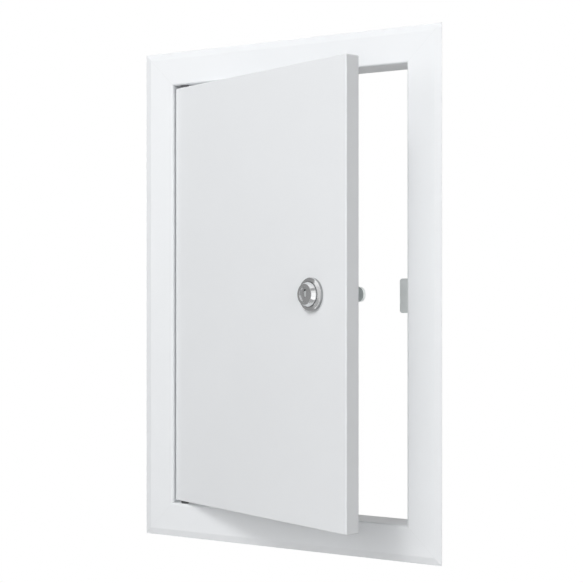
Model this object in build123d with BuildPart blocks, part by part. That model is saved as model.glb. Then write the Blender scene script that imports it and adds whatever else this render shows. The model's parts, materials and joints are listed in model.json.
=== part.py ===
from build123d import *
from math import cos, radians, sin, tan
import os

os.makedirs("parts", exist_ok=True)

# Steel access panel for a wall opening: a mitred frame of bent sheet, a folded sheet leaf
# that turns on two pivot pins, and a key-operated cam lock that catches behind a keeper.
# Millimetres. The face looks along -Y, the wall is at +Y, +Z is up. The origin is on the flat
# back of the bottom rail's flange, halfway along it. The leaf stands open by LEAF_ANGLE.

# Frame: flange on the wall, jamb in the wall opening, one sheet bent along its length
OUTER_W = 300.0
OUTER_H = 450.0
FLANGE_W = 31.0
FRAME_SHEET = 1.2
BEVEL_W = 6.0
BEVEL_DROP = 1.5
BEVEL_BEND = 4.0
JAMB_BEND = 2.0
JAMB_DEPTH = 29.0
FIXING_HOLE_D = 5.0
FIXING_PITCH = 260.0
FIXING_FROM_REAR = 8.0

# Leaf: folded pan with returned edges and a lip all round its back
LEAF_ANGLE = 20.0
LEAF_GAP_SIDE = 2.5
LEAF_GAP_END = 2.6
LEAF_T = 14.1
LEAF_SHEET = 0.8
LEAF_BEND = 1.0
LEAF_CORNER = 1.2
LEAF_LIP = 12.0

# Pivots: plain pins let into the top and bottom jambs, with a spacer ring in each gap
PIVOT_IN = 8.0
PIVOT_BACK = 5.0
PIN_D = 4.0
PIN_FIT = 0.05
PIN_INTO_LEAF = 6.0
PIN_OUTSIDE = 0.5
PIN_CHAMFER = 0.5
SPACER_D = 7.0
SPACER_PLAY = 0.2

# Keeper: bent tab on the lock stile's jamb, behind the shut leaf
KEEPER_BEHIND_LEAF = 1.7
KEEPER_SHEET = 1.5
KEEPER_REACH = 13.65
KEEPER_H = 29.5
KEEPER_DROP = 1.2
KEEPER_LEG = 11.0
KEEPER_BEND = 2.5
KEEPER_CORNER = 2.5

# Lock housing: coned rosette and tapered hub in front of the leaf, flatted barrel through it
LOCK_FROM_EDGE = 41.25
ROSETTE_D = 27.6
ROSETTE_RIM_T = 2.6
ROSETTE_T = 4.4
ROSETTE_EDGE = 0.3
HUB_FOOT_D = 21.4
HUB_FACE_D = 17.2
HUB_H = 8.3
HUB_EDGE = 0.3
BARREL_D = 18.0
BARREL_FLATS = 15.6
BARREL_PLAY = 0.15
NUT_FLATS = 24.0
NUT_T = 5.0
HEXAGON_CONE = 30.0

# Turning pieces of the lock: plug with keyway, cam, washer and screw
PLUG_D = 12.0
PLUG_FIT = 0.05
PLUG_SINK = 0.8
KEYWAY_W = 2.6
KEYWAY_H = 6.4
KEYWAY_RISE = 1.0
KEYWAY_DEPTH = 9.0
TAIL_SQUARE = 7.0
TAIL_FIT = 0.1
CAM_BEHIND_KEEPER = 2.5
CAM_T = 2.5
CAM_TIP_R = 6.0
CAM_EYE_R = 9.0
CAM_FROM_EDGE = 1.0
CAM_PLAY = 0.2
CAM_WASHER_D = 14.0
CAM_WASHER_T = 1.0
SCREW_FLATS = 10.0
SCREW_HEAD = 4.0

# Places that follow from the sizes above
OPENING_W = OUTER_W - 2 * FLANGE_W
OPENING_H = OUTER_H - 2 * FLANGE_W
FACE_Y = -FRAME_SHEET
JAMB_REAR_Y = FACE_Y + JAMB_DEPTH
FLANGE_FLAT = FLANGE_W - BEVEL_W - JAMB_BEND
MID_Z = OUTER_H / 2 - BEVEL_W - FLANGE_FLAT / 2

LEAF_W = OPENING_W - 2 * LEAF_GAP_SIDE
LEAF_H = OPENING_H - 2 * LEAF_GAP_END
PIVOT_X = -OPENING_W / 2 + LEAF_GAP_SIDE + PIVOT_IN
PIVOT_Y = FACE_Y + PIVOT_BACK
LEAF_MID = LEAF_W / 2 - PIVOT_IN
LOCK_X = LEAF_W - PIVOT_IN - LOCK_FROM_EDGE
KEEPER_DEPTH = LEAF_T + KEEPER_BEHIND_LEAF
CAM_DEPTH = KEEPER_DEPTH + KEEPER_SHEET + CAM_BEHIND_KEEPER
BARREL_REAR = CAM_DEPTH - CAM_PLAY

# Leaf directions: ALONG runs from the pivot to the free edge, FRONT out of the leaf's face
ALONG = Vector(cos(radians(LEAF_ANGLE)), -sin(radians(LEAF_ANGLE)), 0)
FRONT = Vector(-sin(radians(LEAF_ANGLE)), -cos(radians(LEAF_ANGLE)), 0)
PIVOT = Vector(PIVOT_X, PIVOT_Y, MID_Z)


def leaf_plane(depth, along=0.0):
    """Plane parallel to the leaf's face, depth behind it, its x along the leaf, its y up."""
    return Plane(PIVOT + ALONG * along + FRONT * (PIVOT_BACK - depth), x_dir=ALONG, z_dir=FRONT)


def save(builder, label):
    """Label a finished piece and write it as its own file."""
    builder.part.label = label
    export_step(builder.part, f"parts/{label}.step")


# Frame rails: bevel, flat flange, bend and jamb drawn across the rail, run along it and mitred
def rail_profile(plane):
    """Bent sheet across one rail: x runs from the outer edge to the opening, y to the rear."""
    with BuildSketch(plane) as profile:
        with BuildLine():
            FilletPolyline(
                (0, FACE_Y + BEVEL_DROP),
                (BEVEL_W, FACE_Y),
                (FLANGE_W, FACE_Y),
                (FLANGE_W, JAMB_REAR_Y),
                radius=[BEVEL_BEND, JAMB_BEND],
            )
            offset(amount=FRAME_SHEET, side=Side.LEFT)
        make_face()
    return profile.sketch


def mitre(plane, length):
    """Cut both ends of the rail in hand at 45 degrees, through the frame's outer corners."""
    for end in (1, -1):
        corner = plane.origin + plane.z_dir * (end * length / 2)
        split(bisect_by=Plane(corner, z_dir=plane.x_dir + plane.z_dir * end), keep=Keep.BOTTOM)


RAILS = {
    "top_rail": (Vector(0, 0, -1), OUTER_W, OUTER_H),
    "bottom_rail": (Vector(0, 0, 1), OUTER_W, OUTER_H),
    "hinge_stile": (Vector(1, 0, 0), OUTER_H, OUTER_W),
    "lock_stile": (Vector(-1, 0, 0), OUTER_H, OUTER_W),
}
for rail_name, (inward, length, across) in RAILS.items():
    edge_middle = Vector(0, 0, MID_Z) - inward * (across / 2)
    rail_plane = Plane(edge_middle, x_dir=inward, z_dir=inward.cross(Vector(0, 1, 0)))
    with BuildPart() as rail:
        extrude(rail_profile(rail_plane), amount=length / 2, both=True)
        mitre(rail_plane, length)
        if rail_name.endswith("rail"):
            with BuildSketch(Plane.XY.offset(MID_Z)):
                with Locations((PIVOT_X, PIVOT_Y)):
                    Circle(PIN_D / 2 + PIN_FIT)
            extrude(amount=OUTER_H / 2, both=True, mode=Mode.SUBTRACT)
        else:
            with BuildSketch(Plane.YZ):
                for side in (1, -1):
                    with Locations((JAMB_REAR_Y - FIXING_FROM_REAR, MID_Z + side * FIXING_PITCH / 2)):
                        Circle(FIXING_HOLE_D / 2)
            extrude(amount=OUTER_W / 2, both=True, mode=Mode.SUBTRACT)
    save(rail, rail_name)

# Keeper: one tab of sheet, its leg flat on the lock stile's jamb, its plate across the opening
keeper_face_y = FACE_Y + KEEPER_DEPTH
keeper_z = MID_Z - KEEPER_DROP
with BuildPart() as keeper:
    with BuildSketch(Plane.XY.offset(keeper_z)):
        with BuildLine():
            FilletPolyline(
                (OPENING_W / 2 - KEEPER_REACH, keeper_face_y),
                (OPENING_W / 2, keeper_face_y),
                (OPENING_W / 2, keeper_face_y + KEEPER_LEG),
                radius=KEEPER_BEND,
            )
            offset(amount=KEEPER_SHEET, side=Side.LEFT)
        make_face()
    extrude(amount=KEEPER_H / 2, both=True)
    plate_corners = keeper.edges().filter_by(Axis.Y).group_by(Axis.X)[0]
    leg_corners = keeper.edges().filter_by(Axis.X).group_by(Axis.Y)[-1]
    fillet(plate_corners + leg_corners, KEEPER_CORNER)
save(keeper, "keeper")

# Pivot pins and spacer rings, one pair in the top jamb and one in the bottom jamb
for pivot_name, end in (("upper", 1), ("lower", -1)):
    jamb_z = MID_Z + end * OPENING_H / 2
    leaf_end_z = MID_Z + end * LEAF_H / 2
    pin_inner_z = leaf_end_z - end * PIN_INTO_LEAF
    pin_outer_z = jamb_z + end * (FRAME_SHEET + PIN_OUTSIDE)
    with BuildPart() as pin:
        with BuildSketch(Plane.XY.offset(pin_inner_z)):
            with Locations((PIVOT_X, PIVOT_Y)):
                Circle(PIN_D / 2)
        extrude(amount=pin_outer_z - pin_inner_z)
        chamfer(pin.edges().filter_by(GeomType.CIRCLE).sort_by(Axis.Z), PIN_CHAMFER)
    save(pin, f"{pivot_name}_pivot_pin")
    with BuildPart() as spacer:
        with BuildSketch(Plane.XY.offset(jamb_z)):
            with Locations((PIVOT_X, PIVOT_Y)):
                Circle(SPACER_D / 2)
                Circle(PIN_D / 2 + PIN_FIT, mode=Mode.SUBTRACT)
        extrude(amount=-end * (LEAF_GAP_END - SPACER_PLAY))
    save(spacer, f"{pivot_name}_spacer")

# Leaf: a shallow box of sheet with rounded bends, opened at the back inside its lip
def pan_block(inset):
    """Rounded block of the leaf's outside, brought in by inset on every side."""
    with BuildPart() as block:
        with BuildSketch(leaf_plane(LEAF_T - inset, LEAF_MID)):
            RectangleRounded(LEAF_W - 2 * inset, LEAF_H - 2 * inset, LEAF_CORNER - inset)
        extrude(amount=LEAF_T - 2 * inset)
        across_leaf = Axis(PIVOT, FRONT)
        rims = block.faces().sort_by(across_leaf)
        fillet(rims[0].edges() + rims[-1].edges(), LEAF_BEND - inset)
    return block.part


with BuildPart() as door_leaf:
    add(pan_block(0.0))
    add(pan_block(LEAF_SHEET), mode=Mode.SUBTRACT)
    with BuildSketch(leaf_plane(LEAF_T, LEAF_MID)):
        Rectangle(LEAF_W - 2 * LEAF_LIP, LEAF_H - 2 * LEAF_LIP)
    extrude(amount=LEAF_SHEET, mode=Mode.SUBTRACT)
    with BuildSketch(leaf_plane(LEAF_SHEET, LOCK_X)):
        Circle(BARREL_D / 2 + BARREL_PLAY)
        Rectangle(BARREL_FLATS + 2 * BARREL_PLAY, BARREL_D + 2 * BARREL_PLAY, mode=Mode.INTERSECT)
    extrude(amount=LEAF_SHEET, mode=Mode.SUBTRACT)
    with BuildSketch(Plane.XY.offset(MID_Z)):
        with Locations((PIVOT_X, PIVOT_Y)):
            Circle(PIN_D / 2 + PIN_FIT)
    extrude(amount=LEAF_H / 2, both=True, mode=Mode.SUBTRACT)
save(door_leaf, "door_leaf")

# Lock housing: turned rosette, hub and barrel with a bore for the plug and two flats
LOCK_AXIS = Axis(leaf_plane(0.0, LOCK_X).origin, FRONT)
lock_section = Plane(LOCK_AXIS.position, x_dir=ALONG, z_dir=ALONG.cross(FRONT))
bore_r = PLUG_D / 2 + PLUG_FIT
with BuildPart() as lock_housing:
    with BuildSketch(lock_section):
        with BuildLine():
            Polyline(
                (bore_r, HUB_H),
                (HUB_FACE_D / 2, HUB_H),
                (HUB_FOOT_D / 2, ROSETTE_T),
                (ROSETTE_D / 2, ROSETTE_RIM_T),
                (ROSETTE_D / 2, 0),
                (BARREL_D / 2, 0),
                (BARREL_D / 2, -BARREL_REAR),
                (bore_r, -BARREL_REAR),
                close=True,
            )
        make_face()
    revolve(axis=LOCK_AXIS)
    face_rims = lock_housing.edges().filter_by(GeomType.CIRCLE).group_by(LOCK_AXIS)[-1]
    chamfer(face_rims.sort_by(SortBy.RADIUS)[-1], HUB_EDGE)
    rosette_rims = lock_housing.edges().filter_by(GeomType.CIRCLE).group_by(SortBy.RADIUS)[-1]
    chamfer(rosette_rims.sort_by(LOCK_AXIS)[-1], ROSETTE_EDGE)
    with BuildSketch(leaf_plane(BARREL_REAR, LOCK_X)):
        Circle(BARREL_D)
        Rectangle(BARREL_FLATS, 2 * BARREL_D, mode=Mode.SUBTRACT)
    extrude(amount=BARREL_REAR, mode=Mode.SUBTRACT)
save(lock_housing, "lock_housing")


def turn_corners(flats, rear):
    """Turn the rear corners of the hexagon in hand to a cone that starts at its flats."""
    inner_r = flats / 2
    outer_r = flats
    with BuildSketch(lock_section) as corner:
        with BuildLine():
            Polyline(
                (inner_r, -rear),
                (outer_r, -rear),
                (outer_r, -rear + (outer_r - inner_r) * tan(radians(HEXAGON_CONE))),
                close=True,
            )
        make_face()
    revolve(corner.sketch, axis=LOCK_AXIS, mode=Mode.SUBTRACT)


# Lock nut: hexagon that clamps the barrel against the inside of the leaf
nut_rear = LEAF_SHEET + NUT_T
with BuildPart() as lock_nut:
    with BuildSketch(leaf_plane(nut_rear, LOCK_X)):
        RegularPolygon(NUT_FLATS / 2, 6, major_radius=False)
        Circle(BARREL_D / 2 + BARREL_PLAY, mode=Mode.SUBTRACT)
    extrude(amount=NUT_T)
    turn_corners(NUT_FLATS, nut_rear)
save(lock_nut, "lock_nut")

# Plug: turns in the housing, keyway in its face, square tail behind that carries the cam
tail_rear = CAM_DEPTH + CAM_T
with BuildPart() as lock_plug:
    with BuildSketch(leaf_plane(BARREL_REAR, LOCK_X)):
        Circle(PLUG_D / 2)
    extrude(amount=BARREL_REAR + HUB_H - PLUG_SINK)
    with BuildSketch(leaf_plane(tail_rear, LOCK_X)):
        Rectangle(TAIL_SQUARE, TAIL_SQUARE)
    extrude(amount=tail_rear - BARREL_REAR)
    with BuildSketch(leaf_plane(KEYWAY_DEPTH - HUB_H, LOCK_X)):
        with Locations((0, KEYWAY_RISE)):
            SlotOverall(KEYWAY_H, KEYWAY_W, rotation=90)
    extrude(amount=KEYWAY_DEPTH, mode=Mode.SUBTRACT)
save(lock_plug, "lock_plug")

# Cam: flat tapered arm from the eye on the plug's tail to a round tip near the free edge
cam_reach = LOCK_FROM_EDGE - CAM_FROM_EDGE
with BuildPart() as lock_cam:
    with BuildSketch(leaf_plane(CAM_DEPTH + CAM_T, LOCK_X)):
        Circle(CAM_EYE_R)
        with Locations((cam_reach - CAM_TIP_R, 0)):
            Circle(CAM_TIP_R)
        make_hull()
        Rectangle(TAIL_SQUARE + 2 * TAIL_FIT, TAIL_SQUARE + 2 * TAIL_FIT, mode=Mode.SUBTRACT)
    extrude(amount=CAM_T)
save(lock_cam, "lock_cam")

# Washer and hexagon screw that hold the cam on the tail
with BuildPart() as cam_washer:
    with BuildSketch(leaf_plane(tail_rear + CAM_WASHER_T, LOCK_X)):
        Circle(CAM_WASHER_D / 2)
    extrude(amount=CAM_WASHER_T)
save(cam_washer, "cam_washer")

screw_rear = tail_rear + CAM_WASHER_T + SCREW_HEAD
with BuildPart() as cam_screw:
    with BuildSketch(leaf_plane(screw_rear, LOCK_X)):
        RegularPolygon(SCREW_FLATS / 2, 6, major_radius=False)
    extrude(amount=SCREW_HEAD)
    turn_corners(SCREW_FLATS, screw_rear)
save(cam_screw, "cam_screw")
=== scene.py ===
import json
from math import cos, pi, radians, sin

import bpy
import numpy as np
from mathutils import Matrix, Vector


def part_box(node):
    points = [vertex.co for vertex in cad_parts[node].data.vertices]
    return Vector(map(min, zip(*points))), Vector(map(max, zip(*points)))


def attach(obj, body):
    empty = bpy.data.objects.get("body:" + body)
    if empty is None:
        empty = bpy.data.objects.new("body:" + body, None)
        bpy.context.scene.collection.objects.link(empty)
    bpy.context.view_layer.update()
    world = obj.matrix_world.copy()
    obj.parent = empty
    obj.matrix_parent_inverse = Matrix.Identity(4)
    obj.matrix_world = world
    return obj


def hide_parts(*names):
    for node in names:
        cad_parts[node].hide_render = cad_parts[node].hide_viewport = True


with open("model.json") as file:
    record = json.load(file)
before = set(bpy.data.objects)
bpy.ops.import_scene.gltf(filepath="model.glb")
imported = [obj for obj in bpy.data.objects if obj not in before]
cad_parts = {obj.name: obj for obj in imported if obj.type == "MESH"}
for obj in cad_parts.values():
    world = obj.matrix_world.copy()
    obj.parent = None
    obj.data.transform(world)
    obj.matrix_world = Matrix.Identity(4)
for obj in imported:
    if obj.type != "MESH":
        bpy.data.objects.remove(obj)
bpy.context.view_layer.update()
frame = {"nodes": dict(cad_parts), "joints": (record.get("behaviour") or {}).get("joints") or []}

# Frame: four lengths of steel sheet, bent to a bevelled flange and a jamb, mitred at the corners
# and welded. The whole frame is powder-coated white, which leaves a satin skin with a faint
# orange peel and only a hairline where the mitres meet.
MM = 0.001
FRAME_WHITE = "#ECEEF0"
FRAME_WHITE_DEEP = "#E9EBED"
FRAME_ROUGHNESS = 0.38
COAT_GLOSS_SPREAD = 0.03
COAT_IOR = 1.5
CLOUD_SIZE = 90 * MM
PEEL_SIZE = 2.2 * MM
PEEL_HEIGHT = 0.012 * MM
MITRE_LINE = 0.35 * MM
MITRE_DEPTH = 0.06 * MM
MITRE_TONE = "#E3E5E7"
nodes = frame["nodes"]
frame_low = np.array(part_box("bottom_rail")[0])
frame_high = np.array(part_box("top_rail")[1])
frame_middle = (frame_low + frame_high) / 2
frame_half = (frame_high - frame_low) / 2
# A colour mix has several sockets of each name, so its own are picked by number.
MIX_SHARE, MIX_FROM, MIX_TO, MIX_RESULT = 0, 6, 7, 2


def linear(hex_colour):
    """sRGB hex to linear RGBA: divide by 12.92 near black, else shift, scale and raise to 2.4."""
    srgb = np.array([int(hex_colour[i:i + 2], 16) for i in (1, 3, 5)]) / 255
    rgb = np.where(srgb <= 0.04045, srgb / 12.92, ((srgb + 0.055) / 1.055) ** 2.4)
    return (*(float(channel) for channel in rgb), 1.0)


def add_node(tree, kind, inputs=None, **settings):
    """Add one node with its settings. An input is a value, or a (node, output) pair to link."""
    node = tree.nodes.new(kind)
    for name, value in settings.items():
        setattr(node, name, value)
    for socket, value in (inputs or {}).items():
        if isinstance(value, tuple) and isinstance(value[0], bpy.types.Node):
            tree.links.new(value[0].outputs[value[1]], node.inputs[socket])
        else:
            node.inputs[socket].default_value = value
    return node


def new_material(name):
    """Empty node material and its tree."""
    material = bpy.data.materials.new(name)
    material.use_nodes = True
    material.node_tree.nodes.clear()
    return material, material.node_tree


def dress(names, material):
    """Give CAD nodes a material in place of the plain one that they came with."""
    for name in names:
        nodes[name].data.materials[0] = material


def powder_coat(name, white, white_deep, roughness, seam=None):
    """Satin powder coat: pale clouds in the white, orange peel as bump, seams sunk and toned."""
    material, tree = new_material(name)
    place = add_node(tree, "ShaderNodeTexCoord")
    clouds = add_node(tree, "ShaderNodeTexNoise",
                      {"Vector": (place, "Object"), "Scale": 1 / CLOUD_SIZE, "Detail": 2.0})
    peel = add_node(tree, "ShaderNodeTexNoise",
                    {"Vector": (place, "Object"), "Scale": 1 / PEEL_SIZE, "Detail": 1.0})
    colour = add_node(tree, "ShaderNodeMix",
                      {MIX_SHARE: (clouds, "Fac"), MIX_FROM: linear(white_deep), MIX_TO: linear(white)},
                      data_type="RGBA")
    gloss = add_node(tree, "ShaderNodeMapRange",
                     {"Value": (clouds, "Fac"), "To Min": roughness - COAT_GLOSS_SPREAD,
                      "To Max": roughness + COAT_GLOSS_SPREAD})
    bump = add_node(tree, "ShaderNodeBump",
                    {"Height": (peel, "Fac"), "Strength": 1.0, "Distance": PEEL_HEIGHT})
    if seam:
        line = seam(tree, place)
        colour = add_node(tree, "ShaderNodeMix",
                          {MIX_SHARE: (line, "Result"), MIX_FROM: (colour, MIX_RESULT),
                           MIX_TO: linear(MITRE_TONE)}, data_type="RGBA")
        bump = add_node(tree, "ShaderNodeBump",
                        {"Height": (line, "Result"), "Normal": (bump, "Normal"), "Distance": MITRE_DEPTH},
                        invert=True)
    paint = add_node(tree, "ShaderNodeBsdfPrincipled",
                     {"Base Color": (colour, MIX_RESULT), "Roughness": (gloss, "Result"), "IOR": COAT_IOR,
                      "Normal": (bump, "Normal")})
    add_node(tree, "ShaderNodeOutputMaterial", {"Surface": (paint, "BSDF")})
    return material


def mitre_line(tree, place):
    """1 along the mitres, where the distances from the frame's side and from its end are equal."""
    centred = add_node(tree, "ShaderNodeMapping",
                       {"Vector": (place, "Object"), "Location": tuple(-frame_middle)})
    spread = add_node(tree, "ShaderNodeVectorMath", {0: (centred, "Vector")}, operation="ABSOLUTE")
    axes = add_node(tree, "ShaderNodeSeparateXYZ", {0: (spread, "Vector")})
    skew = add_node(tree, "ShaderNodeMath", {0: (axes, "X"), 1: (axes, "Z")}, operation="SUBTRACT")
    apart = add_node(tree, "ShaderNodeMath",
                     {0: (skew, 0), 1: float(frame_half[2] - frame_half[0])}, operation="ADD")
    distance = add_node(tree, "ShaderNodeMath", {0: (apart, 0)}, operation="ABSOLUTE")
    return add_node(tree, "ShaderNodeMapRange",
                    {"Value": (distance, 0), "From Max": MITRE_LINE, "To Min": 1.0, "To Max": 0.0},
                    interpolation_type="SMOOTHSTEP")


# To the eye the coat is an even, soft white with a broad, faint sheen.
frame_coat = powder_coat("white_powder_coat_frame", FRAME_WHITE, FRAME_WHITE_DEEP, FRAME_ROUGHNESS,
                         mitre_line)
dress(("top_rail", "bottom_rail", "hinge_stile", "lock_stile"), frame_coat)

# Keeper: a tab bent from zinc-plated strip, with two rivets through its leg and the lock stile's
# jamb. The plating is passivated, which leaves a dull, pale grey skin that scatters light more
# than it mirrors, with fine rolling marks along the strip.
ZINC = "#F0F4F3"
ZINC_DEEP = "#E6EAE9"
ZINC_CLOUD = 6 * MM
ZINC_GLOSS_SPREAD = 0.08
ROLLING_MARK = 0.5 * MM
ROLLING_DEPTH = 0.01 * MM
ROLLING_STRENGTH = 0.4
STRIP_ROUGHNESS = 0.75
STRIP_METALLIC = 0.1
ALONG_STRIP = (1.0, 1.0, 0.08)
KEEPER_SHEET = 1.5 * MM
JAMB_SHEET = 1.2 * MM
RIVET_R = 2.6 * MM
RIVET_RISE = 0.9 * MM
RIVET_CROWN_R = 1.56 * MM
RIVET_RIM_H = 0.36 * MM
RIVET_HOLE_R = 0.9 * MM
RIVET_HOLE_DEPTH = 0.35 * MM
RIVET_SHANK_R = 1.6 * MM
RIVET_TAIL = 1.3 * MM
RIVET_TAIL_R = 2.2 * MM
RIVET_TAIL_END_R = 1.1 * MM
RIVET_EDGE = 0.35 * MM
RIVET_FROM_END = 6.0 * MM
RIVET_BEHIND_MIDDLE = 0.4 * MM
ROUND_SIDES = 48


def zinc_plate(name, grey, grey_deep, roughness, along, metallic=1.0):
    """Zinc plating: soft cloudy tone and fine marks drawn out along one direction.

    Bright plating is all metal; a passivated skin is mostly a pale scattering layer on it.
    """
    material, tree = new_material(name)
    place = add_node(tree, "ShaderNodeTexCoord")
    drawn = add_node(tree, "ShaderNodeMapping", {"Vector": (place, "Object"), "Scale": along})
    marks = add_node(tree, "ShaderNodeTexNoise",
                     {"Vector": (drawn, "Vector"), "Scale": 1 / ROLLING_MARK, "Detail": 3.0})
    clouds = add_node(tree, "ShaderNodeTexNoise",
                      {"Vector": (place, "Object"), "Scale": 1 / ZINC_CLOUD, "Detail": 2.0})
    colour = add_node(tree, "ShaderNodeMix",
                      {MIX_SHARE: (clouds, "Fac"), MIX_FROM: linear(grey_deep), MIX_TO: linear(grey)},
                      data_type="RGBA")
    gloss = add_node(tree, "ShaderNodeMapRange",
                     {"Value": (marks, "Fac"), "To Min": roughness - ZINC_GLOSS_SPREAD,
                      "To Max": roughness + ZINC_GLOSS_SPREAD})
    bump = add_node(tree, "ShaderNodeBump",
                    {"Height": (marks, "Fac"), "Strength": ROLLING_STRENGTH, "Distance": ROLLING_DEPTH})
    metal = add_node(tree, "ShaderNodeBsdfPrincipled",
                     {"Base Color": (colour, MIX_RESULT), "Roughness": (gloss, "Result"),
                      "Metallic": metallic, "Normal": (bump, "Normal")})
    add_node(tree, "ShaderNodeOutputMaterial", {"Surface": (metal, "BSDF")})
    return material


def rounded(corners, cut, longest_share=0.45, steps=5):
    """Profile through corners, each eased by a parabola from cut before it to cut after it.

    A corner at P, with A and B at that distance along its two sides, becomes
    (1-t)^2 A + 2t(1-t) P + t^2 B for t from 0 to 1. Only the two end corners stay sharp, and
    no cut takes more than the longest share of a side.
    """
    corners = np.asarray(corners, float)
    before, corner, after = corners[:-2], corners[1:-1], corners[2:]
    length_before = np.linalg.norm(before - corner, axis=1)[:, None]
    length_after = np.linalg.norm(after - corner, axis=1)[:, None]
    reach = np.minimum(cut, longest_share * np.minimum(length_before, length_after))
    start = corner + (before - corner) / length_before * reach
    end = corner + (after - corner) / length_after * reach
    t = np.linspace(0, 1, steps)[None, :, None]
    arcs = (1 - t) ** 2 * start[:, None] + 2 * t * (1 - t) * corner[:, None] + t ** 2 * end[:, None]
    return np.vstack([corners[:1], arcs.reshape(-1, 2), corners[-1:]])


def angles_round(sides):
    """Angles of a full turn in equal steps."""
    return np.arange(sides) * 2 * pi / sides


def turned(radius, height, origin, axis, across, sides=ROUND_SIDES):
    """Rings about an axis: origin + height * axis + radius * (cos(a) across + sin(a) (axis x across)).

    The radius is one value for each ring, or one for each ring and angle a.
    """
    angle = angles_round(sides)
    spoke = np.outer(np.cos(angle), across) + np.outer(np.sin(angle), np.cross(axis, across))
    radius = radius.reshape(len(height), -1, 1)
    return np.asarray(origin) + height[:, None, None] * np.asarray(axis) + radius * spoke


def ring_faces(rings, sides, first=0, loop=False):
    """Quads between neighbouring rings, and a cap on each end unless the rings close in a loop."""
    row, column = np.meshgrid(np.arange(rings if loop else rings - 1), np.arange(sides), indexing="ij")
    below, beside = (row + 1) % rings, (column + 1) % sides
    quads = np.stack([row * sides + column, row * sides + beside,
                      below * sides + beside, below * sides + column], axis=-1).reshape(-1, 4) + first
    faces = quads.tolist()
    if not loop:
        faces += [(first + np.arange(sides)[::-1]).tolist(),
                  (first + (rings - 1) * sides + np.arange(sides)).tolist()]
    return faces


def placed(name, data):
    """New object for a mesh, a lamp or a camera, linked into the scene."""
    made = bpy.data.objects.new(name, data)
    bpy.context.scene.collection.objects.link(made)
    return made


def piece(name, shells, material, body, loop=False):
    """One mesh object from shells of rings, each an array (rings, sides, 3), riding on a body."""
    starts = np.cumsum([0] + [shell.shape[0] * shell.shape[1] for shell in shells])
    points = np.vstack([shell.reshape(-1, 3) for shell in shells])
    faces = [face for shell, first in zip(shells, starts)
             for face in ring_faces(shell.shape[0], shell.shape[1], int(first), loop)]
    mesh = bpy.data.meshes.new(name)
    mesh.from_pydata(points.tolist(), [], faces)
    mesh.polygons.foreach_set("use_smooth", np.ones(len(mesh.polygons), bool))
    mesh.materials.append(material)
    made = placed(name, mesh)
    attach(made, body)
    return made


# To the eye the strip is a matt, faintly cool grey without a mirror image.
zinc_strip = zinc_plate("zinc_plated_strip", ZINC, ZINC_DEEP, STRIP_ROUGHNESS, ALONG_STRIP, STRIP_METALLIC)
dress(("keeper",), zinc_strip)
keeper_low, keeper_high = (np.array(corner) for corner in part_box("keeper"))
grip = KEEPER_SHEET + JAMB_SHEET
rivet_profile = rounded([
    (RIVET_HOLE_R, RIVET_RISE - RIVET_HOLE_DEPTH),
    (RIVET_HOLE_R, RIVET_RISE),
    (RIVET_CROWN_R, RIVET_RISE),
    (RIVET_R, RIVET_RIM_H),
    (RIVET_R, 0.0),
    (RIVET_SHANK_R, 0.0),
    (RIVET_SHANK_R, -grip),
    (RIVET_TAIL_R, -grip),
    (RIVET_TAIL_R, -grip - RIVET_TAIL),
    (RIVET_TAIL_END_R, -grip - RIVET_TAIL),
], RIVET_EDGE)
rivet_y = (keeper_low[1] + KEEPER_SHEET + keeper_high[1]) / 2 + RIVET_BEHIND_MIDDLE
rivet_spots = [(keeper_high[0] - KEEPER_SHEET, rivet_y, z)
               for z in (keeper_low[2] + RIVET_FROM_END, keeper_high[2] - RIVET_FROM_END)]
piece("keeper_rivets", [turned(*rivet_profile.T, spot, (-1, 0, 0), (0, 0, 1)) for spot in rivet_spots],
      zinc_strip, "frame")

# Pivots: plain zinc-plated pins let into the top and bottom jambs, each with a moulded nylon
# ring that carries the leaf in its gap. Only the dark ends of the rings can be made out.
NYLON = "#4A4B4D"
NYLON_WORN = "#5A5B5D"
NYLON_ROUGHNESS = 0.5
NYLON_IOR = 1.53
NYLON_GRAIN = 0.3 * MM
NYLON_GRAIN_DEPTH = 0.02 * MM
NYLON_GRAIN_STRENGTH = 0.5
ZINC_BAR = "#CFD3D3"
ZINC_BAR_DEEP = "#C2C6C6"
BAR_ROUGHNESS = 0.35
ALONG_BAR = (1.0, 1.0, 0.1)


def moulded_nylon(name):
    """Nylon from a mould: dark grey, half matt, with a fine spark-eroded grain."""
    material, tree = new_material(name)
    place = add_node(tree, "ShaderNodeTexCoord")
    grain = add_node(tree, "ShaderNodeTexNoise",
                     {"Vector": (place, "Object"), "Scale": 1 / NYLON_GRAIN, "Detail": 2.0})
    colour = add_node(tree, "ShaderNodeMix",
                      {MIX_SHARE: (grain, "Fac"), MIX_FROM: linear(NYLON), MIX_TO: linear(NYLON_WORN)},
                      data_type="RGBA")
    bump = add_node(tree, "ShaderNodeBump",
                    {"Height": (grain, "Fac"), "Strength": NYLON_GRAIN_STRENGTH,
                     "Distance": NYLON_GRAIN_DEPTH})
    plastic = add_node(tree, "ShaderNodeBsdfPrincipled",
                       {"Base Color": (colour, MIX_RESULT), "Roughness": NYLON_ROUGHNESS, "IOR": NYLON_IOR,
                        "Normal": (bump, "Normal")})
    add_node(tree, "ShaderNodeOutputMaterial", {"Surface": (plastic, "BSDF")})
    return material


# To the eye the rings are near black in their gaps, and the pins a brighter metal than the strip.
dress(("upper_spacer", "lower_spacer"), moulded_nylon("moulded_nylon"))
zinc_bar = zinc_plate("zinc_plated_bar", ZINC_BAR, ZINC_BAR_DEEP, BAR_ROUGHNESS, ALONG_BAR)
dress(("upper_pivot_pin", "lower_pivot_pin"), zinc_bar)

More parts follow.
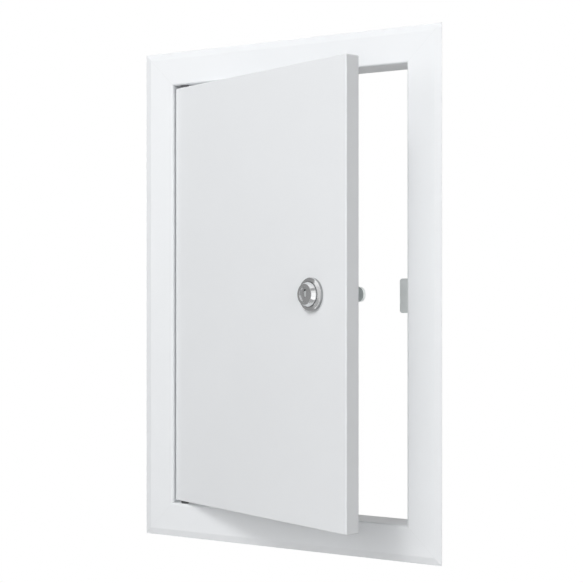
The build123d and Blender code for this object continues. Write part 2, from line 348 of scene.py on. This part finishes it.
# Leaf: one steel sheet folded to a shallow pan with a lip round its back, its corners welded and
# ground, then powder-coated white like the frame, with the same soft sheen.
LEAF_WHITE = "#ECEEF0"
LEAF_WHITE_DEEP = "#E9EBED"
LEAF_ROUGHNESS = 0.4
leaf_coat = powder_coat("white_powder_coat_leaf", LEAF_WHITE, LEAF_WHITE_DEEP, LEAF_ROUGHNESS)
dress(("door_leaf",), leaf_coat)

# Lock housing: zinc alloy, die-cast and turned, then chromed: a coned rosette with a tapered hub
# in front of the leaf, and a threaded barrel with two flats through it. A groove parts the hub
# from the rosette, and the turning shows as fine rings. The groove is coloured darker as painted
# shade, and the rim is coloured darker as a painted dark reflection of the shaded leaf round it.
CHROME = "#E8E9EA"
CHROME_DEEP = "#E2E3E4"
CHROME_HAZE = 3 * MM
CHROME_GLOSS_SPREAD = 0.03
HOUSING_ROUGHNESS = 0.12
HOUSING_RINGS = 0.5
TURNING_PITCH = 0.5 * MM
TURNING_DEPTH = 0.004 * MM
ROSETTE_R = 13.8 * MM
ROSETTE_RIM_T = 2.6 * MM
ROSETTE_T = 3.5 * MM
ROSETTE_EDGE = 0.3 * MM
# Painted dark reflection: the rosette's rim is coloured darker to stand in for the shaded leaf that it
# mirrors.
RIM_PAINTED_REFLECTION = "#ABACAD"
RIM_BAND = 0.05 * MM
HUB_FOOT_R = 10.15 * MM
HUB_FOOT_H = 4.8 * MM
HUB_FACE_R = 8.6 * MM
HUB_H = 8.3 * MM
GROOVE_W = 0.6 * MM
GROOVE_DEPTH = 0.5 * MM
# Painted shade: the groove at the hub's foot is coloured darker, as shade in that recess.
GROOVE_PAINTED_SHADE = "#CDCECF"
GROOVE_SHADE_HALF = 0.36 * MM
GROOVE_SHADE_BELOW_FOOT = 0.1 * MM
TURNED_EDGE = 0.15 * MM
BORE_R = 6.05 * MM
BARREL_R = 9.0 * MM
BARREL_FLATS = 15.6 * MM
BARREL_REAR = 19.6 * MM
THREAD_PITCH = 1.0 * MM
THREAD_DEPTH = 0.5 * MM
THREAD_STEPS = 8
LOCK_SIDES = 128
joints = {joint["name"]: joint for joint in frame["joints"]}
lock_front = -np.array(joints["lock_turn"]["axis"])
lock_centre = np.array(joints["lock_turn"]["pos_m"])
up = np.array((0.0, 0.0, 1.0))
along_leaf = np.cross(lock_front, -up)


def chrome(name, roughness, rings):
    """Chrome plate: mirror-like metal, with turning marks as fine rings about the lock's axis.

    The rings are the sine of the distance from that axis over the turning pitch, drawn about
    twice as coarse as on the real piece so that they show. The groove at the hub's foot and the
    rosette's rim, found by that distance and the height above the leaf, are coloured darker:
    painted shade in the groove, and a painted dark reflection of the shaded leaf on the rim.
    """
    material, tree = new_material(name)
    place = add_node(tree, "ShaderNodeTexCoord")
    from_centre = add_node(tree, "ShaderNodeVectorMath",
                           {0: (place, "Object"), 1: tuple(lock_centre)}, operation="SUBTRACT")
    height = add_node(tree, "ShaderNodeVectorMath",
                      {0: (from_centre, "Vector"), 1: tuple(lock_front)}, operation="DOT_PRODUCT")
    along_axis = add_node(tree, "ShaderNodeVectorMath",
                          {0: tuple(lock_front), "Scale": (height, "Value")}, operation="SCALE")
    spoke = add_node(tree, "ShaderNodeVectorMath",
                     {0: (from_centre, "Vector"), 1: (along_axis, "Vector")}, operation="SUBTRACT")
    radius = add_node(tree, "ShaderNodeVectorMath", {0: (spoke, "Vector")}, operation="LENGTH")
    turns = add_node(tree, "ShaderNodeMath",
                     {0: (radius, "Value"), 1: 2 * pi / TURNING_PITCH}, operation="MULTIPLY")
    marks = add_node(tree, "ShaderNodeMath", {0: (turns, 0)}, operation="SINE")
    haze = add_node(tree, "ShaderNodeTexNoise",
                    {"Vector": (place, "Object"), "Scale": 1 / CHROME_HAZE, "Detail": 2.0})
    colour = add_node(tree, "ShaderNodeMix",
                      {MIX_SHARE: (haze, "Fac"), MIX_FROM: linear(CHROME_DEEP), MIX_TO: linear(CHROME)},
                      data_type="RGBA")
    # Painted shade: the groove at the hub's foot, below the foot's height, is coloured darker.
    off_groove = add_node(tree, "ShaderNodeMath",
                          {0: (radius, "Value"), 1: HUB_FOOT_R + GROOVE_W / 2}, operation="SUBTRACT")
    aside = add_node(tree, "ShaderNodeMath", {0: (off_groove, 0)}, operation="ABSOLUTE")
    narrow = add_node(tree, "ShaderNodeMath", {0: (aside, 0), 1: GROOVE_SHADE_HALF}, operation="LESS_THAN")
    low = add_node(tree, "ShaderNodeMath",
                   {0: (height, "Value"), 1: HUB_FOOT_H - GROOVE_SHADE_BELOW_FOOT}, operation="LESS_THAN")
    groove = add_node(tree, "ShaderNodeMath", {0: (narrow, 0), 1: (low, 0)}, operation="MULTIPLY")
    colour = add_node(tree, "ShaderNodeMix",
                      {MIX_SHARE: (groove, 0), MIX_FROM: (colour, MIX_RESULT), MIX_TO: linear(GROOVE_PAINTED_SHADE)},
                      data_type="RGBA")
    # Painted dark reflection: the rim of the rosette is coloured darker.
    rim = add_node(tree, "ShaderNodeMath",
                   {0: (radius, "Value"), 1: ROSETTE_R - RIM_BAND}, operation="GREATER_THAN")
    colour = add_node(tree, "ShaderNodeMix",
                      {MIX_SHARE: (rim, 0), MIX_FROM: (colour, MIX_RESULT), MIX_TO: linear(RIM_PAINTED_REFLECTION)},
                      data_type="RGBA")
    gloss = add_node(tree, "ShaderNodeMapRange",
                     {"Value": (haze, "Fac"), "To Min": roughness - CHROME_GLOSS_SPREAD,
                      "To Max": roughness + CHROME_GLOSS_SPREAD})
    bump = add_node(tree, "ShaderNodeBump",
                    {"Height": (marks, 0), "Strength": rings, "Distance": TURNING_DEPTH})
    metal = add_node(tree, "ShaderNodeBsdfPrincipled",
                     {"Base Color": (colour, MIX_RESULT), "Roughness": (gloss, "Result"), "Metallic": 1.0,
                      "Normal": (bump, "Normal")})
    add_node(tree, "ShaderNodeOutputMaterial", {"Surface": (metal, "BSDF")})
    return material


def threaded(height, angle):
    """Barrel radius: a triangle wave of the turn plus height over pitch, cut off at the two flats."""
    turn = height / THREAD_PITCH + angle / (2 * pi)
    ridge = BARREL_R - THREAD_DEPTH * np.abs(2 * (turn - np.floor(turn)) - 1)
    return np.minimum(ridge, BARREL_FLATS / 2 / np.abs(np.cos(angle)))


front_profile = rounded([
    (BORE_R, -BARREL_REAR),
    (BORE_R, HUB_H),
    (HUB_FACE_R, HUB_H),
    (HUB_FOOT_R, HUB_FOOT_H),
    (HUB_FOOT_R, ROSETTE_T - GROOVE_DEPTH),
    (HUB_FOOT_R + GROOVE_W, ROSETTE_T - GROOVE_DEPTH),
    (HUB_FOOT_R + GROOVE_W, ROSETTE_T),
    (ROSETTE_R - ROSETTE_EDGE, ROSETTE_RIM_T),
    (ROSETTE_R, ROSETTE_RIM_T - ROSETTE_EDGE),
    (ROSETTE_R, 0.0),
    (BARREL_R, 0.0),
], TURNED_EDGE)
front_rings = turned(*front_profile[:-1].T, lock_centre, lock_front, along_leaf, LOCK_SIDES)
barrel_height = -np.linspace(0, BARREL_REAR, int(BARREL_REAR / THREAD_PITCH * THREAD_STEPS))
barrel_radius = threaded(barrel_height[:, None], angles_round(LOCK_SIDES))
barrel_rings = turned(barrel_radius, barrel_height, lock_centre, lock_front, along_leaf, LOCK_SIDES)
# To the eye the chrome is bands of the studio's white and grey, bent round the cone and the hub.
lock_chrome = chrome("turned_chrome", HOUSING_ROUGHNESS, HOUSING_RINGS)
housing = piece("lock_housing_turned", [np.concatenate([front_rings, barrel_rings])[::-1]], lock_chrome,
                "leaf", loop=True)
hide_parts("lock_housing")

# Plug: the turning core of the lock, chromed, with a keyway whose lower part a sprung dust
# shutter closes. The shutter is a slip of bright steel; above it the keyway is open and dark.
PLUG_ROUGHNESS = 0.15
PLUG_RINGS = 0.8
KEYWAY_RISE = 1.0 * MM
SHUTTER_H = 5.1 * MM
SHUTTER_W = 2.4 * MM
SHUTTER_T = 0.3 * MM
SHUTTER_SINK = 1.3 * MM
SHUTTER_DROP = 0.55 * MM
SHUTTER_LEAN = 24.0
SHUTTER_SIDES = 40
dress(("lock_plug",), chrome("chrome_plug", PLUG_ROUGHNESS, PLUG_RINGS))
shutter_normal = cos(radians(SHUTTER_LEAN)) * lock_front + sin(radians(SHUTTER_LEAN)) * along_leaf
shutter_across = cos(radians(SHUTTER_LEAN)) * along_leaf - sin(radians(SHUTTER_LEAN)) * lock_front
shutter_centre = lock_centre + lock_front * (HUB_H - SHUTTER_SINK) + up * (KEYWAY_RISE - SHUTTER_DROP)


def slip(width, height, thickness, sides):
    """Thin plate with round ends: a circle of the width, its halves moved apart to the height.

    Rings run from the front's middle to its rim and round to the back's middle, each a share of
    that outline at a part of the thickness.
    """
    angle = angles_round(sides)
    across = np.cos(angle) * width / 2
    upward = np.sin(angle) * width / 2 + np.sign(np.sin(angle)) * (height - width) / 2
    share = np.array([0.2, 0.9, 1.0, 1.0, 0.9, 0.2])[:, None]
    rise = np.array([0.5, 0.5, 0.3, -0.3, -0.5, -0.5])[:, None] * thickness
    return np.broadcast_arrays(share * across, share * upward, rise)


shutter_x, shutter_y, shutter_z = slip(SHUTTER_W, SHUTTER_H, SHUTTER_T, SHUTTER_SIDES)
shutter = (shutter_centre + shutter_x[..., None] * shutter_across + shutter_y[..., None] * up
           + shutter_z[..., None] * shutter_normal)
piece("keyway_shutter", [shutter], zinc_bar, "lock_core")

# Cam, nut, washer and screw: the lock's back, zinc-plated. The cam is stamped from strip and
# turns with the plug, and its tip shows past the leaf's free edge as a darker grey than the keeper.
STAMPING_ROUGHNESS = 0.75
ALONG_CAM = (0.15, 0.15, 1.0)
zinc_stamped = zinc_plate("zinc_plated_stamping", ZINC, ZINC_DEEP, STAMPING_ROUGHNESS, ALONG_CAM)
dress(("lock_cam", "cam_washer"), zinc_stamped)
dress(("lock_nut", "cam_screw"), zinc_bar)

# Floor: a plain pale floor well below the panel, as under a panel in a wall. It reads white out to
# its edges, keeps the panel's soft shadow, and is painted darker behind the panel as painted shade,
# which also throws less light up there.
FLOOR_DROP = 0.95
FLOOR_HALF = 2.6
FLOOR_TONE = "#F4F4F4"
FLOOR_PAINTED_SHADE_BEHIND = "#A8A8A8"
FLOOR_SHADED_FROM = 0.4
FLOOR_WHITE = "#FFFFFF"
FLOOR_OWN_WHITE = 0.6
FLOOR_SHADOW_NEAR = 1.4
FLOOR_SHADOW_FAR = 2.2
SQUARE = np.array([(-1, -1), (1, -1), (1, 1), (-1, 1)])


def looked_at(tree):
    """1 for a ray that the camera, a glossy face or glass looks along, 0 for one that only lights."""
    path = add_node(tree, "ShaderNodeLightPath")
    seen = add_node(tree, "ShaderNodeMath",
                    {0: (path, "Is Camera Ray"), 1: (path, "Is Glossy Ray")}, operation="MAXIMUM")
    return add_node(tree, "ShaderNodeMath",
                    {0: (seen, 0), 1: (path, "Is Transmission Ray")}, operation="MAXIMUM")


def pale_floor(name):
    """Matt white floor that shows its own white on top of the light on it, so that shadows stay.

    Its tone is painted darker behind the panel as painted shade, and its own white rises to
    full toward the edges.
    """
    material, tree = new_material(name)
    place = add_node(tree, "ShaderNodeTexCoord")
    axes = add_node(tree, "ShaderNodeSeparateXYZ", {0: (place, "Object")})
    # Painted shade: the floor's tone darkens behind the panel.
    behind = add_node(tree, "ShaderNodeMapRange", {"Value": (axes, "Y"), "From Max": FLOOR_SHADED_FROM})
    tone = add_node(tree, "ShaderNodeMix",
                    {MIX_SHARE: (behind, "Result"), MIX_FROM: linear(FLOOR_TONE),
                     MIX_TO: linear(FLOOR_PAINTED_SHADE_BEHIND)}, data_type="RGBA")
    matt = add_node(tree, "ShaderNodeBsdfDiffuse", {"Color": (tone, MIX_RESULT)})
    spread = add_node(tree, "ShaderNodeVectorMath", {0: (place, "Object")}, operation="LENGTH")
    own = add_node(tree, "ShaderNodeMapRange",
                   {"Value": (spread, "Value"), "From Min": FLOOR_SHADOW_NEAR, "From Max": FLOOR_SHADOW_FAR,
                    "To Min": FLOOR_OWN_WHITE, "To Max": 1.0})
    share = add_node(tree, "ShaderNodeMath",
                     {0: (looked_at(tree), 0), 1: (own, "Result")}, operation="MULTIPLY")
    white = add_node(tree, "ShaderNodeEmission", {"Color": linear(FLOOR_WHITE), "Strength": (share, 0)})
    shown = add_node(tree, "ShaderNodeAddShader", {0: (matt, 0), 1: (white, 0)})
    add_node(tree, "ShaderNodeOutputMaterial", {"Surface": (shown, 0)})
    return material


def flat_sheet(name, corners, material):
    """One flat face through four corners."""
    mesh = bpy.data.meshes.new(name)
    mesh.from_pydata(corners.tolist(), [], [(0, 1, 2, 3)])
    mesh.materials.append(material)
    return placed(name, mesh)


floor_height = np.full(len(SQUARE), frame_low[2] - FLOOR_DROP)
floor = flat_sheet("floor", np.column_stack([SQUARE * FLOOR_HALF, floor_height]), pale_floor("pale_floor"))

# Studio: a room that shows white behind the panel and in its gloss but gives next to no light,
# round soft lamps that give it, most of it from in front and above, and plain cards, from white
# to mid grey, that show only in the gloss of paint and metal.
ROOM_WHITE = "#FFFFFF"
ROOM_LIGHT = 0.005
# A lamp's azimuth from the front and elevation (degrees), distance and width (metres), watts.
LAMPS = {
    "key": (-10, 45, 2.4, 0.8, 23.4),
    "key_low": (0, 35, 2.4, 0.7, 7.4),
    "spot": (-25, 7, 2.4, 0.2, 1.7),
    "left_fill": (-45, 15, 2.4, 1.2, 8.4),
    "front_fill": (15, 5, 2.4, 1.5, 13.6),
    "right_fill": (60, 10, 2.2, 1.5, 14.2),
    "overhead": (0, 70, 2.0, 1.2, 1.8),
    "back": (180, 12, 2.4, 0.6, 16.0),
}
# A card's azimuth and elevation (degrees), distance, width and height (metres), tone, strength.
CARDS = {
    "left_card": (-87, 0, 0.9, 1.46, 2.16, "#9B9B9B", 1.0),
    "right_softbox": (55, -8, 2.0, 1.0, 1.5, "#FFFFFF", 1.2),
    "right_flag": (54, 43, 2.2, 1.6, 0.9, "#B4B4B4", 1.0),
    "low_flag": (0, -90, 0.55, 1.1, 1.1, "#B4B4B4", 1.0),
    "front_card": (-32, 3, 2.6, 0.9, 1.2, "#DCDCDC", 1.0),
    "low_left_flag": (-38, -17, 0.9, 0.36, 0.3, "#B8B8B8", 1.0),
    "camera_card": (20, -20, 0.8, 0.8, 1.0, "#BCBCBC", 1.0),
}
world = bpy.data.worlds.new("white_room")
bpy.context.scene.world = world
world.use_nodes = True
room = world.node_tree
room.nodes.clear()
light = add_node(room, "ShaderNodeBackground", {"Color": linear(ROOM_WHITE), "Strength": ROOM_LIGHT})
white = add_node(room, "ShaderNodeBackground", {"Color": linear(ROOM_WHITE), "Strength": 1.0})
both = add_node(room, "ShaderNodeMixShader", {0: (looked_at(room), 0), 1: (light, 0), 2: (white, 0)})
add_node(room, "ShaderNodeOutputWorld", {"Surface": (both, 0)})


def toward(azimuth, elevation):
    """Unit vector from the panel: azimuth from the front toward the lock side, then up."""
    turn, rise = radians(azimuth), radians(elevation)
    return np.array((sin(turn) * cos(rise), -cos(turn) * cos(rise), sin(rise)))


def even_card(name, tone, strength):
    """Card that shows one even tone in the gloss of paint and metal."""
    material, tree = new_material(name)
    shown = add_node(tree, "ShaderNodeEmission", {"Color": linear(tone), "Strength": strength})
    add_node(tree, "ShaderNodeOutputMaterial", {"Surface": (shown, 0)})
    return material


for lamp_name, (azimuth, elevation, distance, size, power) in LAMPS.items():
    lamp = bpy.data.lights.new(lamp_name, "AREA")
    lamp.shape = "DISK"
    lamp.size = size
    lamp.energy = power
    holder = placed(lamp_name, lamp)
    holder.location = frame_middle + toward(azimuth, elevation) * distance
    holder.rotation_euler = (radians(90 - elevation), 0, radians(azimuth))
    holder.visible_camera = holder.visible_glossy = False

for card_name, (azimuth, elevation, distance, width, height, tone, strength) in CARDS.items():
    back = toward(azimuth, elevation)
    side = np.array((cos(radians(azimuth)), sin(radians(azimuth)), 0.0))
    across, upward = (SQUARE / 2 * (width, height)).T[..., None]
    corners = frame_middle + back * distance + across * side + upward * np.cross(back, side)
    card = flat_sheet(card_name, corners, even_card(card_name, tone, strength))
    card.visible_camera = card.visible_diffuse = card.visible_transmission = card.visible_shadow = False

# Camera: level, to the right of the panel, at the photograph's place and angle.
CAMERA_PLACE = (0.56442, -0.98264, 0.20782)
CAMERA_YAW = 29.555
IMAGE_SIDE = 583
FOCAL_PIXELS = 1280.53
HORIZON_PIXELS_BELOW = 2.45
SENSOR = 36.0
camera = bpy.data.cameras.new("camera")
camera.sensor_width = SENSOR
camera.lens = FOCAL_PIXELS / IMAGE_SIDE * SENSOR
camera.shift_y = HORIZON_PIXELS_BELOW / IMAGE_SIDE
viewer = placed("camera", camera)
viewer.location = CAMERA_PLACE
viewer.rotation_euler = (radians(90), 0, radians(CAMERA_YAW))
bpy.context.scene.camera = viewer
bpy.context.scene.view_settings.view_transform = "Standard"
